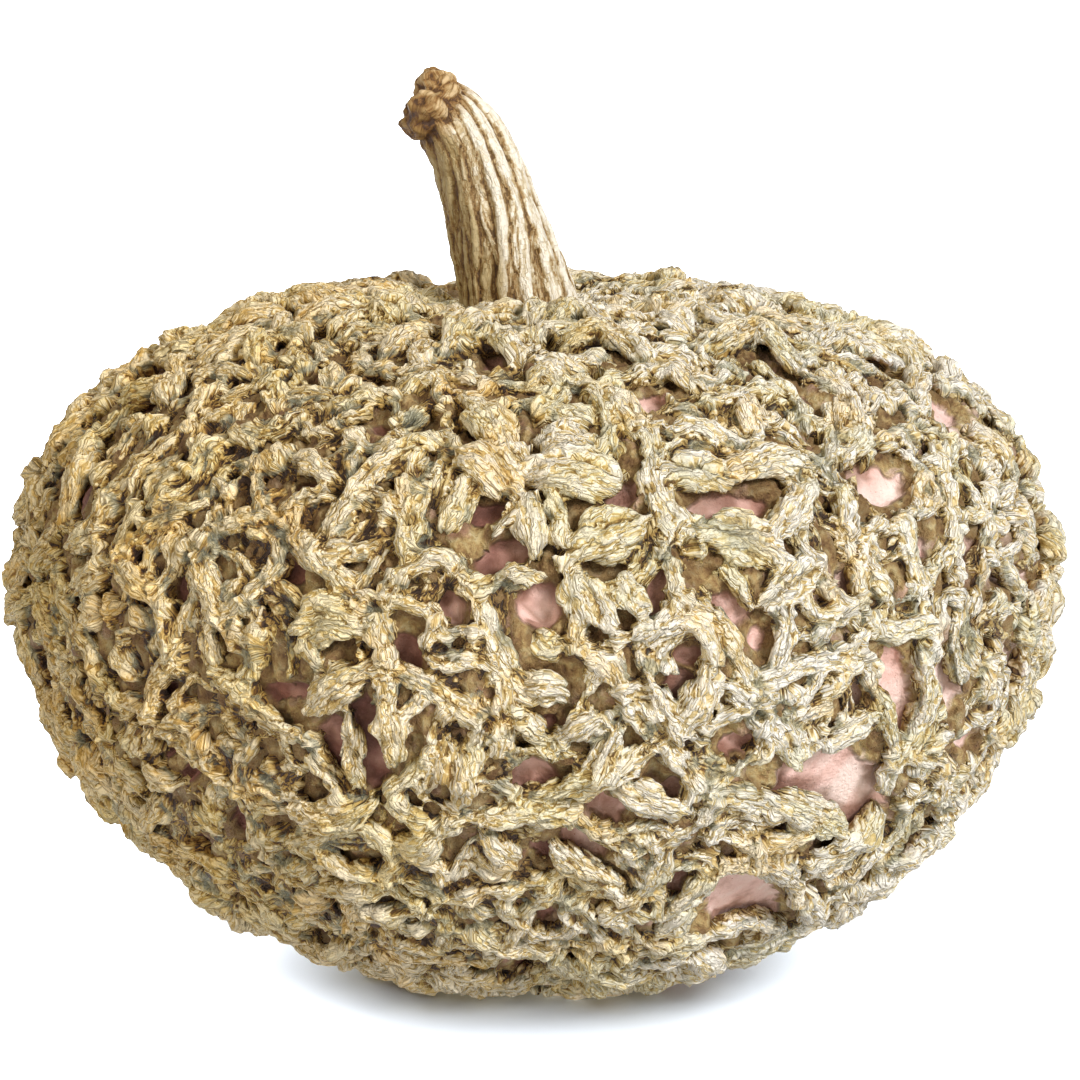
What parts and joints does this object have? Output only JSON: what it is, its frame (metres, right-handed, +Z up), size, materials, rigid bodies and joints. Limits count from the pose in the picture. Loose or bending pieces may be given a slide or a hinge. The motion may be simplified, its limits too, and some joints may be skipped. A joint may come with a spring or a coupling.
{
  "type": "warty winter squash",
  "caption": "Whole round winter squash with shallow lobes, a thick corky warty crust over pink skin, and a dry fluted stem that leans to one side. Rests on a flat spot.",
  "frame": {"origin": "on the resting surface, under the middle of the fruit", "axes": "+Z up along the fruit's axis towards the stem, -Y to the front, +X to the right of the front"},
  "size_m": [0.2998, 0.2958, 0.2632],
  "materials": {
    "rind": "dry corky warts, matte, with pink skin in the gaps",
    "stem": "dry grey-tan fibrous stem, matte"
  },
  "bodies": {
    "root": {"squash_body": "rind", "stem": "stem"}
  },
  "joints": []
}
